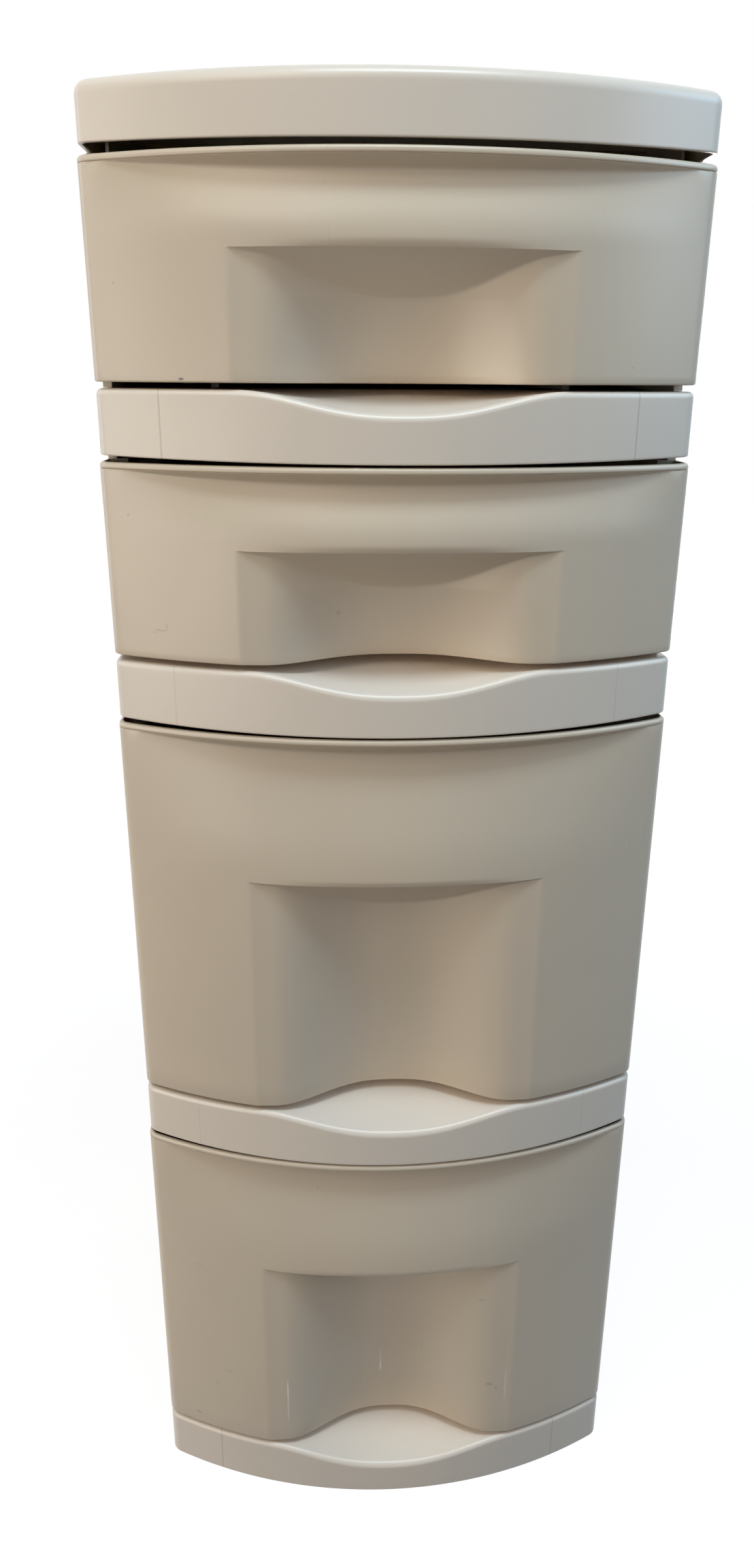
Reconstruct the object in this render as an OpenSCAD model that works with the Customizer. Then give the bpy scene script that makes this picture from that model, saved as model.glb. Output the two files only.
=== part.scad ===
// Plastic drawer tower: bowed fronts, two shallow drawers over two deep ones,
// carried by snap-together frames and panels.
// X is across, +Y is to the back, Z is up. The origin is the middle of the footprint, on the floor.

/* [Frames] */
// Width of the frames, the cover and the base
frame_w = 300; // [260:1:380]
// Depth of the frames from the middle of the bow to the back
frame_d = 390; // [330:1:460]
// How far the middle of the front stands ahead of its corners
front_bow = 38; // [20:1:50]
// Radius of the two front corners in plan
front_corner_r = 9; // [8.5:0.5:14]
// Radius of the two back corners in plan
back_corner_r = 12; // [9:0.5:20]
// Height of each shelf frame's rail and of the base
rail_h = 33.5; // [28:0.5:45]
// Rounding of the rails' upper edge
rail_edge_r = 3; // [2.6:0.1:3.8]
// Wall of the skirts
skirt_t = 2.5; // [2:0.1:3.5]
// Thickness of the decks
deck_t = 2.5; // [2:0.1:3.5]
// Rise of a rail's lower edge from the middle to the sides
lower_edge_rise = 2; // [0.5:0.1:3]

/* [Top cover] */
// Height of the top cover
cover_h = 28; // [22:0.5:40]
// Rounding of the cover's upper edge
cover_edge_r = 6; // [3:0.5:7]
// Gap between the cover's lower edge and the first drawer's rim
cover_gap = 2.6; // [1:0.1:4]

/* [Finger scoops] */
// Half width of a scoop where it meets the rail's top
scoop_half_w = 75; // [50:1:90]
// Depth of a scoop at the front face
scoop_depth = 11; // [5:0.5:14]
// How far back a scoop runs
scoop_run = 52; // [42:1:60]

/* [Drawers] */
// Height of a shallow drawer
small_drawer_h = 98.5; // [85:0.5:140]
// Height of a deep drawer
large_drawer_h = 230; // [170:1:300]
// Wall of the drawers
drawer_wall = 2.2; // [1.8:0.1:2.6]
// How far a drawer slides out to its stop
drawer_travel = 270; // [180:1:280]
// Gap between a drawer's lower edge and the deck below it
gap_below = 3; // [2:0.1:5]
// Gap between a drawer's rim and the rail above it
gap_above = 1.2; // [0.8:0.1:3]
// How far each side of a drawer's front stands outside the frame at its rim
front_oversize = 1; // [0:0.1:2]
// Draft of a drawer's front on each side, from rim to lower edge
front_draft = 0.7; // [0:0.1:1.5]
// Draft angle of the box walls
box_draft = 1.5; // [0.5:0.1:2]
// Depth of the front's side returns, measured from the middle of the bow
return_d = 62; // [56:1:75]
// Radius of a drawer box's back corners
box_corner_r = 14; // [8:1:25]

/* [Drawer rim and pull] */
// Height of the rolled rim
rim_h = 3.2; // [2:0.1:5]
// How far the rim stands out over the box walls
rim_out = 3; // [2:0.1:4]
// How far the front is set back under the rim, in the middle
rim_recess = 10; // [4:0.5:12]
// Distance from a shallow drawer's rim down to its pull ledge
small_ledge_drop = 40.5; // [36:0.5:50]
// Distance from a deep drawer's rim down to its pull ledge
large_ledge_drop = 84; // [60:1:110]
// Height of the ledge's nose
nose_h = 3.5; // [2:0.1:5]
// Set-back of the ledge's nose at its lower edge
nose_setback = 1.3; // [0.5:0.1:2]
// Slope of the rim's underside, from level
rim_underside = 35; // [30:1:45]
// Slope of the ledge's underside, from level
ledge_underside = 41; // [32:1:48]
// Half width of the finger trough
trough_half_w = 81; // [60:1:95]
// Depth of the trough in the middle, under the ledge
trough_top_depth = 25; // [15:1:32]
// Depth of the trough in the middle, at the drawer's lower edge
trough_depth = 34.5; // [20:0.5:38]
// Depth that the trough's sides reach beside the bell
trough_side = 2; // [0.5:0.1:3]
// Width of the trough's sides beside the bell
trough_side_w = 12; // [6:1:16]

/* [Panels] */
// Thickness of the side and back panels
panel_t = 2.5; // [2:0.1:3.2]
// Thickness of the panels' tabs
tab_t = 1.8; // [1.4:0.1:2.2]
// Length of each tab along its panel
tab_len = 26; // [15:1:40]
// How far the tabs reach into their seats
tab_h = 8; // [5:0.5:10]
// Return of a side panel along the back
back_return = 10; // [6:1:20]

/* [Running fits] */
// Clearance of a tab in its seat
tab_clear = 0.15; // [0.1:0.05:0.4]
// Clearance between a drawer's floor and its runners
runner_clear = 0.3; // [0.2:0.1:0.6]
// Clearance between the drawer rims and the panels' inner ribs
side_clear = 1; // [0.8:0.1:2]
// Clearance of a closed drawer at its side returns
return_clear = 0.5; // [0.3:0.1:1]

/* [Hidden] */

// colours
frame_colour = [0.86, 0.82, 0.75];
panel_colour = [0.84, 0.80, 0.73];
drawer_colour = [0.87, 0.83, 0.76];

// plan of the frames
half_w = frame_w / 2;
front_y = -frame_d / 2;
back_y = frame_d / 2;
bow_r = (half_w * half_w + front_bow * front_bow) / (2 * front_bow);
corner_x = half_w - front_corner_r;
corner_y = front_y + bow_r - sqrt(pow(bow_r - front_corner_r, 2) - corner_x * corner_x);
corner_turn = asin(corner_x / (bow_r - front_corner_r));

// finger scoops: a cylinder tilted about its lowest point on the front face
scoop_r = (scoop_half_w * scoop_half_w + scoop_depth * scoop_depth) / (2 * scoop_depth);
scoop_tilt = atan(scoop_depth / scoop_run);

// heights: tier 1 is the top one
tier_drawer_h = [small_drawer_h, small_drawer_h, large_drawer_h, large_drawer_h];
tier_ledge_drop = [small_ledge_drop, small_ledge_drop, large_ledge_drop, large_ledge_drop];
tier_gap_above = [cover_gap, gap_above, gap_above, gap_above];
function deck_top(tier) = tier == 4 ? rail_h : frame_z(tier) + rail_h;
function frame_z(tier) = tier == 4 ? 0 : deck_top(tier + 1) + tier_clear(tier + 1);
function tier_clear(tier) = gap_below + tier_drawer_h[tier - 1] + tier_gap_above[tier - 1];
function drawer_z(tier) = deck_top(tier) + gap_below;
cover_z = deck_top(1) + tier_clear(1);

// seats of the panels, inside the skirts
seat_in = max(skirt_t, panel_t) + tab_clear;
tab_x0 = half_w - seat_in - tab_t;
tab_y0 = back_y - seat_in - tab_t;
panel_front_y = front_y + return_d + return_clear;
side_straight = back_y - back_corner_r - panel_front_y;
back_half = half_w - back_corner_r - back_return;
top_seat_gap = 0.2;
side_tab_pitch = 0.375 * side_straight;
back_tab_pitch = 0.7 * back_half;
panel_rib_t = 2;
panel_rib_d = 1.4;
flange_margin = 2;

// drawer boxes
rim_half = tab_x0 - side_clear;
box_half = rim_half - rim_out;
box_back_y = tab_y0 - rim_out - side_clear;
front_half = half_w + front_oversize;
front_corner_x = front_half - front_corner_r;
runner_h = gap_below - runner_clear;
runner_w = 4;
runner_x = box_half - 45;
runner_margin = 10;
drawer_edge = 0.8;
floor_fillet = 2;
rim_step = 0.3;

// stops: lugs on the rims that meet the inside of the rail above
lug_h = 6;
lug_len = 12;
lug_t = 2;
lug_inset = 0.6;
lug_clear = 0.7;
lug_x = rim_half - lug_inset - lug_t;
lug_front_y = corner_y - (front_corner_r - skirt_t) + drawer_travel + side_clear;

// ribs under a deck
guide_t = 1.6;
guide_x = lug_x - lug_clear - guide_t;
brace_h = 8;
brace_t = 2;
braces = 4;
rib_margin = 14;
rib_y0 = front_y + scoop_run + rib_margin;
rib_len = tab_y0 - brace_t - rib_y0;

// how far cuts run past a face, and pieces into each other
cut = 1;
weld = 0.1;

// resolution of the curved surfaces: columns along a stretch of outline, rows up a face
bow_cols = 24;
corner_cols = 3;
trough_cols = 10;
side_cols = 2;
slope_rows = 4;
round_rows = 3;
round_fn = 96;
scoop_fn = 360;

// ---------- outlines and lofts ----------

function bow(x) = bow_r - sqrt(bow_r * bow_r - x * x);
function arc(centre, r, a0, a1, n) =
  [for (i = [0 : n]) let (a = a0 + (a1 - a0) * i / n) centre + r * [cos(a), sin(a)]];
function mirrored(points) = [for (i = [len(points) - 1 : -1 : 0]) [-points[i].x, points[i].y]];
function unit(v) = v / norm(v);
function outward(a, b) = let (u = unit(b - a)) [u.y, -u.x];
function shrunk(ring, d) = [
  for (i = [0 : len(ring) - 1])
    let (n = len(ring), p = ring[i],
         n1 = outward(ring[(i + n - 1) % n], p), n2 = outward(p, ring[(i + 1) % n]))
      p - d * (n1 + n2) / (1 + n1 * n2)
];
function raised(ring, z) = [for (p = ring) [p.x, p.y, z]];

// Solid through a stack of outlines that all have the same number of points
module loft(rings) {
  n = len(rings[0]);
  m = len(rings);
  polyhedron(
    points = [for (ring = rings) each ring],
    faces = concat(
      [[for (i = [0 : n - 1]) i]],
      [for (k = [0 : m - 2], i = [0 : n - 1]) [k * n + i, (k + 1) * n + i, (k + 1) * n + (i + 1) % n]],
      [for (k = [0 : m - 2], i = [0 : n - 1]) [k * n + i, (k + 1) * n + (i + 1) % n, k * n + (i + 1) % n]],
      [[for (i = [n - 1 : -1 : 0]) (m - 1) * n + i]]
    ),
    convexity = 8
  );
}

// ---------- frames ----------

// Plan of a frame, set in from its outside by less than a corner radius
function right_of_plan(inset) = concat(
  arc([corner_x, corner_y], front_corner_r - inset, corner_turn - 90, 0, corner_cols),
  arc([half_w - back_corner_r, back_y - back_corner_r], back_corner_r - inset, 0, 90, corner_cols)
);
function bow_of_plan(inset) = let (a = corner_turn - corner_turn / bow_cols)
  arc([0, front_y + bow_r], bow_r - inset, -90 - a, -90 + a, bow_cols);
function frame_plan(inset) =
  concat(bow_of_plan(inset), right_of_plan(inset), mirrored(right_of_plan(inset)));

// Block with a rounded upper edge, hollow below its deck
module tray(h, edge_r) {
  difference() {
    loft(concat(
      [raised(frame_plan(0), 0)],
      [for (i = [0 : round_rows]) let (a = 90 * i / round_rows)
        raised(frame_plan(edge_r * (1 - cos(a))), h - edge_r * (1 - sin(a)))]
    ));
    translate([0, 0, -cut]) linear_extrude(h - edge_r + cut) polygon(frame_plan(skirt_t));
    translate([0, 0, -cut]) linear_extrude(h - deck_t + cut) polygon(frame_plan(max(edge_r, skirt_t)));
  }
}

// Cylinder tilted about its lowest point on the front face, which sinks the finger scoop
module scoop_cylinder(h, grow) {
  translate([0, front_y, h - scoop_depth])
    rotate([scoop_tilt, 0, 0])
      translate([0, 0, scoop_r])
        rotate([90, 0, 0])
          cylinder(r = scoop_r + grow, h = 4 * scoop_run, center = true, $fn = scoop_fn);
}

// Floor of the scoop, under the level of the deck
module scoop_pan(h) {
  depth = scoop_depth + deck_t + cut;
  intersection() {
    scoop_cylinder(h, deck_t);
    translate([0, 0, h - depth - deck_t / 2])
      linear_extrude(depth)
        intersection() {
          polygon(frame_plan(skirt_t / 2));
          translate([-scoop_half_w - rib_margin, front_y])
            square([2 * (scoop_half_w + rib_margin), scoop_run + rib_margin]);
        }
  }
}

// Places of the tabs: three along each side and three along the back, about the middle
function tab_y(i) = panel_front_y + side_straight / 2 + (i - 1) * side_tab_pitch;
function back_tab_x(i) = (i - 1) * back_tab_pitch;

// Slots in a deck's edge that take the tabs of the panels standing on it
module tab_slots(h) {
  slot_w = tab_t + 2 * tab_clear;
  slot_len = tab_len + 2 * tab_clear;
  for (i = [0 : 2]) {
    for (side = [-1, 1])
      translate([side * (tab_x0 + tab_t / 2), tab_y(i), h])
        cube([slot_w, slot_len, 4 * deck_t], center = true);
    translate([back_tab_x(i), tab_y0 + tab_t / 2, h])
      cube([slot_len, slot_w, 4 * deck_t], center = true);
  }
}

// Pair of ribs that the drawer above slides on
module runners(h) {
  runner_y0 = front_y + return_d + runner_margin;
  for (side = [-1, 1])
    translate([side * runner_x - runner_w / 2, runner_y0, h - deck_t / 2])
      cube([runner_w, tab_y0 - runner_margin - runner_y0, runner_h + deck_t / 2]);
}

// Ribs under a deck: two guides over the rims of the drawer below, and cross braces
module deck_ribs(h) {
  for (side = [-1, 1])
    translate([side * (guide_x + guide_t / 2) - guide_t / 2, rib_y0, lower_edge_rise])
      cube([guide_t, rib_len, h - deck_t / 2 - lower_edge_rise]);
  for (i = [1 : braces])
    translate([-guide_x - guide_t / 2, rib_y0 + i * rib_len / (braces + 1), h - deck_t - brace_h])
      cube([2 * guide_x + guide_t, brace_t, brace_h + deck_t / 2]);
}

// What a rail's lower edge loses to rise from the middle of the bow to the panels, and to sit on them
module under_arch() {
  translate([0, panel_front_y, 0])
    rotate([90, 0, 0])
      linear_extrude(return_d + return_clear + cut)
        polygon(concat(
          [for (i = [-bow_cols / 2 : bow_cols / 2]) let (t = 2 * i / bow_cols)
            [t * half_w, lower_edge_rise * t * t]],
          [[half_w + cut, lower_edge_rise], [half_w + cut, -cut],
           [-half_w - cut, -cut], [-half_w - cut, lower_edge_rise]]
        ));
  translate([-half_w - cut, panel_front_y - cut, -cut])
    cube([frame_w + 2 * cut, frame_d, lower_edge_rise + cut]);
}

// A frame that carries a drawer on its deck: runners, finger scoop and slots for panels
module drawer_frame() {
  difference() {
    union() {
      tray(rail_h, rail_edge_r);
      deck_ribs(rail_h);
      scoop_pan(rail_h);
      runners(rail_h);
    }
    scoop_cylinder(rail_h, 0);
    tab_slots(rail_h);
  }
}

module shelf_frame(tier) {
  color(frame_colour)
    translate([0, 0, frame_z(tier)])
      difference() {
        drawer_frame();
        under_arch();
      }
}

module base_frame() {
  color(frame_colour) drawer_frame();
}

module top_cover() {
  color(frame_colour)
    translate([0, 0, cover_z])
      difference() {
        union() {
          tray(cover_h, cover_edge_r);
          deck_ribs(cover_h);
        }
        under_arch();
      }
}

// ---------- drawers ----------

// Bell across the front, 1 in the middle and 0 from half_w outwards
function bell(x, half_w) = pow(cos(90 * pow(min(1, abs(x) / half_w), 1.25)), 2);
function rim_share(x) = 1 - pow(min(1, abs(x) / front_corner_x), 2);

// Height at which the ledge's underside meets the wall of the trough in the middle
function trough_top(ledge_z) = ledge_z - (trough_top_depth - nose_setback) * tan(ledge_underside);

// Depth of the trough's wall: a crease and a ramp along each side, and a bell that deepens downwards
function trough_wall(x, z, ledge_z) =
  let (middle = trough_depth - (trough_depth - trough_top_depth) * min(1, z / trough_top(ledge_z)),
       ramp = trough_side * sin(90 * min(1, max(0, trough_half_w - abs(x)) / trough_side_w)))
    ramp + (middle - trough_side) * bell(x, trough_half_w - trough_side_w / 2);

// How far the front is set back from the bow at a point, for a ledge at height ledge_z under a rim at rim_z
function recess(x, z, ledge_z, rim_z) =
  let (nose = nose_setback * bell(x, trough_half_w))
    z >= rim_z ? 0 :
    z >= ledge_z + nose_h ?
      min((rim_z - z) / tan(rim_underside),
          rim_recess * rim_share(x) * (1 + cos(180 * (rim_z - z) / (rim_z - ledge_z - nose_h))) / 2) :
    z >= ledge_z ? nose * (ledge_z + nose_h - z) / nose_h :
      min(trough_wall(x, z, ledge_z), nose + (ledge_z - z) / tan(ledge_underside));

// Right half of a drawer's outline behind its bowed front
function drawer_side(h, z, rim) =
  let (draft = (h - z) * tan(box_draft),
       fx = front_half - front_draft * (h - z) / h - front_corner_r,
       fy = front_y + bow_r - sqrt(pow(bow_r - front_corner_r, 2) - fx * fx),
       turn = asin(fx / (bow_r - front_corner_r)),
       bx = rim ? rim_half : box_half - draft,
       by = rim ? box_back_y + rim_out : box_back_y - draft)
    concat(
      arc([fx, fy], front_corner_r, turn - 90, 0, corner_cols),
      [[fx + front_corner_r, front_y + return_d], [bx, front_y + return_d]],
      arc([bx - box_corner_r, by - box_corner_r], box_corner_r, 0, 90, corner_cols)
    );
function front_stations(last_x) = concat(
  [for (i = [side_cols - 1 : -1 : 1]) -trough_half_w - (last_x - trough_half_w) * i / side_cols],
  [for (i = [-trough_cols : trough_cols]) trough_half_w * i / trough_cols],
  [for (i = [1 : side_cols - 1]) trough_half_w + (last_x - trough_half_w) * i / side_cols]
);
function drawer_ring(h, ledge_z, z, rim = false) =
  let (side = drawer_side(h, z, rim), rim_z = h - rim_h)
    concat(
      [for (x = front_stations(side[0].x)) [x, front_y + bow(x) + recess(x, z, ledge_z, rim_z)]],
      side,
      mirrored(side)
    );

module drawer(tier) {
  h = tier_drawer_h[tier - 1];
  ledge_z = h - tier_ledge_drop[tier - 1];
  rim_z = h - rim_h;
  nose_top = ledge_z + nose_h;
  wall_top = trough_top(ledge_z);
  slope_bottom = rim_z - rim_recess * tan(rim_underside);
  edge = drawer_edge;
  // lift of the inner surface over the sloped undersides, for an even wall
  lift = drawer_wall * (1 - sin(rim_underside)) / cos(rim_underside);
  outer_z = concat(
    [for (i = [0 : slope_rows]) wall_top + (ledge_z - wall_top) * i / slope_rows],
    [nose_top, nose_top + (slope_bottom - nose_top) / 3, nose_top + 2 * (slope_bottom - nose_top) / 3],
    [slope_bottom, (slope_bottom + 2 * rim_z) / 3, rim_z - rim_step]
  );
  inner_z = concat(
    [rim_z, (slope_bottom + rim_z) / 2, slope_bottom, (nose_top + slope_bottom) / 2, nose_top],
    [for (i = [slope_rows - 1 : -1 : 0]) wall_top + (ledge_z - wall_top) * i / (slope_rows - 1)]
  );
  color(drawer_colour)
    translate([0, 0, drawer_z(tier)]) {
      loft(concat(
        [raised(shrunk(drawer_ring(h, ledge_z, 0), edge), 0),
         raised(drawer_ring(h, ledge_z, edge), edge)],
        [for (z = outer_z) raised(drawer_ring(h, ledge_z, z), z)],
        [raised(drawer_ring(h, ledge_z, rim_z, true), rim_z),
         raised(drawer_ring(h, ledge_z, h - edge, true), h - edge),
         raised(shrunk(drawer_ring(h, ledge_z, h, true), edge), h),
         raised(shrunk(drawer_ring(h, ledge_z, h), drawer_wall), h)],
        [for (z = inner_z) raised(shrunk(drawer_ring(h, ledge_z, z), drawer_wall), z + lift)],
        [raised(shrunk(drawer_ring(h, ledge_z, drawer_wall + floor_fillet), drawer_wall),
                drawer_wall + floor_fillet),
         raised(shrunk(drawer_ring(h, ledge_z, drawer_wall), drawer_wall + floor_fillet), drawer_wall)]
      ));
      // stop lugs on the side rims
      for (side = [-1, 1])
        translate([side * (lug_x + lug_t / 2) - lug_t / 2, lug_front_y, h - rim_h / 2])
          cube([lug_t, lug_len, lug_h + rim_h / 2]);
    }
}

// ---------- panels ----------

function panel_z0(tier) = deck_top(tier);
function panel_z1(tier) = panel_z0(tier) + tier_clear(tier) + lower_edge_rise - top_seat_gap;

module side_panel(tier) {
  z0 = panel_z0(tier);
  height = panel_z1(tier) - z0;
  color(panel_colour) {
    // outer plate
    translate([half_w - panel_t, panel_front_y, z0]) cube([panel_t, side_straight, height]);
    // rounded rear corner and its return along the back
    translate([half_w - back_corner_r, back_y - back_corner_r, z0])
      rotate_extrude(angle = 90, $fn = round_fn)
        translate([back_corner_r - panel_t, 0]) square([panel_t, height]);
    translate([half_w - back_corner_r - back_return, back_y - panel_t, z0])
      cube([back_return, panel_t, height]);
    // bands along the lower and upper edge, inside the plate
    for (z = [z0, z0 + height - tab_h])
      translate([tab_x0, panel_front_y, z])
        cube([half_w - panel_t - tab_x0 + weld, side_straight, tab_h]);
    // stiffening ribs
    for (i = [1 : 2])
      translate([half_w - panel_t - panel_rib_d, panel_front_y + i * side_straight / 3, z0])
        cube([panel_rib_d + weld, panel_rib_t, height]);
    // tabs into the deck below and the skirt above
    for (i = [0 : 2])
      translate([tab_x0, tab_y(i) - tab_len / 2, z0 - tab_h])
        cube([tab_t, tab_len, height + 2 * tab_h]);
  }
}

module back_panel(tier) {
  z0 = panel_z0(tier);
  height = panel_z1(tier) - z0;
  half = back_half - top_seat_gap;
  lap = back_return - flange_margin;
  color(panel_colour) {
    // plate between the returns of the side panels
    translate([-half, back_y - panel_t, z0]) cube([2 * half, panel_t, height]);
    // bands along the edges
    for (z = [z0, z0 + height - tab_h])
      translate([-half, tab_y0, z]) cube([2 * half, seat_in + tab_t - panel_t + weld, tab_h]);
    // stiles at the ends, with flanges that lap behind the returns
    for (side = [-1, 1]) {
      translate([side * (half - lap / 2) - lap / 2, tab_y0, z0])
        cube([lap, seat_in + tab_t - panel_t + weld, height]);
      translate([side * half - lap, tab_y0, z0]) cube([2 * lap, tab_t, height]);
    }
    // tabs
    for (i = [0 : 2])
      translate([back_tab_x(i) - tab_len / 2, tab_y0, z0 - tab_h])
        cube([tab_len, tab_t, height + 2 * tab_h]);
  }
}

top_cover();
shelf_frame(1);  // shelf_frame_1
shelf_frame(2);  // shelf_frame_2
shelf_frame(3);  // shelf_frame_3
base_frame();
mirror([1, 0, 0]) side_panel(1);  // left_panel_1
mirror([1, 0, 0]) side_panel(2);  // left_panel_2
mirror([1, 0, 0]) side_panel(3);  // left_panel_3
mirror([1, 0, 0]) side_panel(4);  // left_panel_4
side_panel(1);  // right_panel_1
side_panel(2);  // right_panel_2
side_panel(3);  // right_panel_3
side_panel(4);  // right_panel_4
back_panel(1);  // back_panel_1
back_panel(2);  // back_panel_2
back_panel(3);  // back_panel_3
back_panel(4);  // back_panel_4
drawer(1);  // drawer_1
drawer(2);  // drawer_2
drawer(3);  // drawer_3
drawer(4);  // drawer_4
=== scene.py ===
"""Moulded plastic drawer tower: fine surfaces, finishes and a plain studio round its CAD frame."""

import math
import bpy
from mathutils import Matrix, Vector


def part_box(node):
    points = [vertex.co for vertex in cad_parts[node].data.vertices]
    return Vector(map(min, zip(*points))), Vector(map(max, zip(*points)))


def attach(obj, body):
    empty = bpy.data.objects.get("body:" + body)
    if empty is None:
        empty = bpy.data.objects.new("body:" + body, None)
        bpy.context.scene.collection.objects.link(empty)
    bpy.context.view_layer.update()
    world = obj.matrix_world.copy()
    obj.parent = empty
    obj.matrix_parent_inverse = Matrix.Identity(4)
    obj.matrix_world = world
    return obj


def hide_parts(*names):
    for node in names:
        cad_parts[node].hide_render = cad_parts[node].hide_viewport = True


bl_info = {
    "name": "Plastic drawer tower",
    "version": (1, 0, 0),
    "blender": (4, 5, 0),
    "location": "3D View > Sidebar > Tower",
    "description": "Builds a moulded plastic drawer tower on its CAD frame, with its finishes and a plain studio",
    "category": "Object",
}

import bpy
import numpy as np
from bpy.props import FloatProperty, FloatVectorProperty, IntProperty, PointerProperty
from mathutils import Matrix, Vector

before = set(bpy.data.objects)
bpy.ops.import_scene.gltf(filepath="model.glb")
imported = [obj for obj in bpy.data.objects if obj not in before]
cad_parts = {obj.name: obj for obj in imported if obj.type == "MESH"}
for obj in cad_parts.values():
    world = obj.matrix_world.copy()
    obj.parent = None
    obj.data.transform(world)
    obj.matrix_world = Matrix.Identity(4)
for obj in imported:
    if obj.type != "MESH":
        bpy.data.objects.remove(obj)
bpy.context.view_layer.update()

MM = 0.001
FRAMES = ("shelf_frame_1", "shelf_frame_2", "shelf_frame_3", "base_frame")
DRAWERS = ("drawer_1", "drawer_2", "drawer_3", "drawer_4")
PANELS = tuple(f"{side}_panel_{tier}" for side in ("left", "right", "back") for tier in (1, 2, 3, 4))

# Seats, ribs, runners and stops, which follow the CAD frame
TAB_CLEAR = 0.15 * MM
TAB_WALL = 1.8 * MM
SIDE_CLEAR = 1 * MM
TRAVEL = 270 * MM
LUG_HEIGHT = 6 * MM
LUG_LENGTH = 12 * MM
LUG_WALL = 2 * MM
LUG_INSET = 0.6 * MM
LUG_CLEAR = 0.7 * MM
GUIDE_WALL = 1.6 * MM
GUIDE_START = 14 * MM
BRACE_WALL = 2 * MM
BRACE_HEIGHT = 8 * MM
BRACES = 4
RUNNER_X = 96.55 * MM
RUNNER_WIDTH = 4 * MM
RUNNER_BACK = 8 * MM
# The CAD's runners start 10 mm behind the side returns, where their ends would show in the gap
RUNNER_START = 40 * MM

# Small roundings of the mouldings' edges
SKIRT_ROUND = 0.6 * MM
SKIRT_CHAMFER = 0.5 * MM
DRAWER_ROUND = 0.9 * MM
RIM_LIP = 0.7 * MM
RIM_CROWN = 2.0 * MM
FLOOR_FILLET = 2 * MM
# Set-back of a front right under its rim, and the height over which it fades
RIM_SETBACK = 0.5 * MM
RIM_SETBACK_FADE = 2.5 * MM
CORNER_STEPS = 8
SHARP_ANGLE = math.radians(32)

# The ring on which a deck's faces end, as shares of its outline and a shift to the back
DECK_RING = (0.93, 0.7)
DECK_SHIFT = 9 * MM

# The roughness varies by this much either way. Previews show pale outlines where it crosses about 0.27
GLOSS_SPREAD = 0.03


def size_mm(name, description, default):
    """A length that a user sees in the panel, stored in metres."""
    return FloatProperty(name=name, description=description, default=default * MM, unit="LENGTH", precision=4)


# ---------- sizes, finishes and studio ----------


class TowerSizes(bpy.types.PropertyGroup):
    bow: size_mm("Front bow", "How far the middle of the front stands ahead of its corners", 38)
    front_corner: size_mm("Front corner radius", "Radius of the front corners in plan", 9)
    back_corner: size_mm("Back corner radius", "Radius of the back corners in plan", 12)
    skirt: size_mm("Skirt wall", "Wall of the frames' skirts", 2.5)
    deck: size_mm("Deck wall", "Thickness of the decks", 2.5)
    rail_edge: size_mm("Rail edge radius", "Rounding of the rails' upper edge", 3)
    cover_edge: size_mm("Cover edge radius", "Rounding of the cover's upper edge", 6)
    arch: size_mm("Lower edge rise", "Rise of a rail's lower edge from the middle to the sides", 2)
    runner: size_mm("Runner height", "Height of the ribs that a drawer slides on", 2.7)
    scoop_half: size_mm("Scoop half width", "Half width of the finger scoops", 80)
    scoop_depth: size_mm("Scoop depth", "Depth of the finger scoops at the front face", 11)
    scoop_run: size_mm("Scoop run", "How far back the finger scoops run", 52)
    wall: size_mm("Drawer wall", "Wall of the drawers", 2.2)
    rim: size_mm("Rim height", "Height of the drawers' rolled rim", 3.2)
    rim_out: size_mm("Rim overhang", "How far the rim stands out over the box walls", 3)
    rim_recess: size_mm("Rim recess", "How far a front is set back under its rim, in the middle", 10)
    nose: size_mm("Nose height", "Height of the pull ledge's rounded nose", 4)
    nose_setback: size_mm("Nose set-back", "Set-back of the pull ledge's nose at its lower edge", 1.3)
    trough_half: size_mm("Trough half width", "Half width of the finger trough", 81)
    trough_top: size_mm("Trough depth at the top", "Depth of the trough in the middle, under the ledge", 25)
    trough_depth: size_mm("Trough depth", "Depth of the trough in the middle, at the drawer's lower edge", 34.5)
    trough_step: size_mm("Trough step", "Depth that the trough's sides reach beside the bell", 2)
    step_width: size_mm("Step width", "Width of the trough's sides beside the bell", 12)
    small_ledge: size_mm("Shallow ledge drop", "From a shallow drawer's rim down to its pull ledge", 40.5)
    large_ledge: size_mm("Deep ledge drop", "From a deep drawer's rim down to its pull ledge", 84)
    returns: size_mm("Side returns", "Depth of a front's side returns from the middle of the bow", 62)
    front_draft: size_mm("Front draft", "Draft of a front on each side, from rim to lower edge", 0.7)
    box_corner: size_mm("Box corner radius", "Radius of a drawer box's back corners", 14)
    rim_underside: FloatProperty(
        name="Rim underside", description="Slope of the rim's underside, from level", default=math.radians(35),
        subtype="ANGLE")
    ledge_underside: FloatProperty(
        name="Ledge underside", description="Slope of the ledge's underside, from level", default=math.radians(41),
        subtype="ANGLE")
    face_ease: FloatProperty(
        name="Face ease", description="Share of a front's face that eases into the pull ledge", default=0.35, min=0.01,
        max=1)
    box_draft: FloatProperty(
        name="Box draft", description="Draft angle of the drawers' box walls", default=math.radians(1.5),
        subtype="ANGLE")
    columns: IntProperty(
        name="Front columns", description="Columns of faces across a bowed front", default=180, min=40)


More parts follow.
